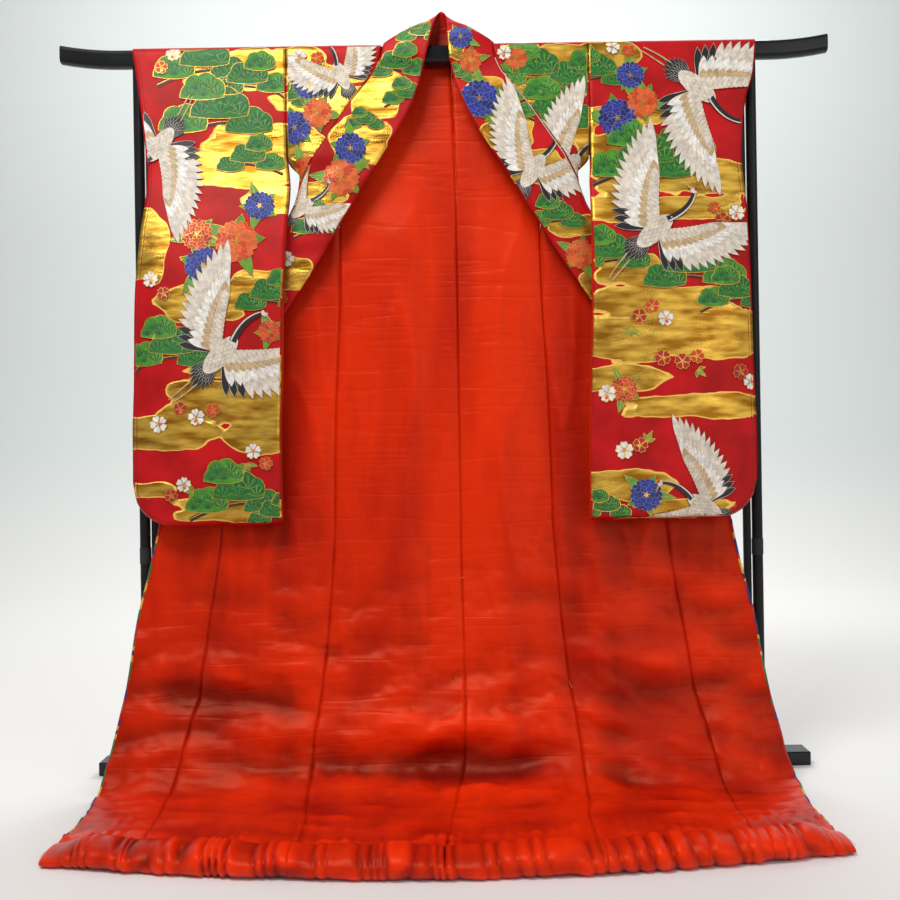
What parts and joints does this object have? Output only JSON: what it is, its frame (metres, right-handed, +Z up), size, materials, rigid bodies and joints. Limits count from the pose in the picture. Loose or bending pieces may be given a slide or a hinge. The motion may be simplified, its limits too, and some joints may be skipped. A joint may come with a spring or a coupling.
{
  "type": "uchikake wedding kimono on a display stand",
  "caption": "Padded brocade uchikake wedding kimono with silk lining and wadded hem, hung open with spread sleeves on a black crossbar stand.",
  "frame": {"origin": "middle of the footprint's box, on the floor", "axes": "+X along the crossbar, the open front with its lining faces -Y, +Z up"},
  "size_m": [1.599, 0.7788, 1.5885],
  "materials": {
    "brocade": "woven silk brocade with gold",
    "silk_lining": "satin silk",
    "lacquer": "gloss black lacquer",
    "satin_black": "satin black"
  },
  "bodies": {
    "root": {"body_left": "brocade", "body_right": "brocade", "okumi_left": "brocade", "okumi_right": "brocade", "collar": "brocade", "sleeve_left": "brocade", "sleeve_right": "brocade", "lining_back_left": "silk_lining", "lining_back_right": "silk_lining", "lining_front_left": "silk_lining", "lining_front_right": "silk_lining", "lining_okumi_left": "silk_lining", "lining_okumi_right": "silk_lining", "hem_roll_okumi_left": "silk_lining", "hem_roll_front_left": "silk_lining", "hem_roll_back_left": "silk_lining", "hem_roll_back_right": "silk_lining", "hem_roll_front_right": "silk_lining", "hem_roll_okumi_right": "silk_lining", "crossbar": "lacquer", "foot_left": "lacquer", "foot_right": "lacquer", "runner_front_left": "lacquer", "runner_front_right": "lacquer", "runner_back_left": "lacquer", "runner_back_right": "lacquer", "floor_rail": "lacquer", "upright_lower_left": "satin_black", "upright_lower_right": "satin_black", "upright_joint_left": "satin_black", "upright_joint_right": "satin_black", "upright_upper_left": "satin_black", "upright_upper_right": "satin_black", "slim_pole_left": "satin_black", "slim_pole_right": "satin_black"}
  },
  "joints": []
}
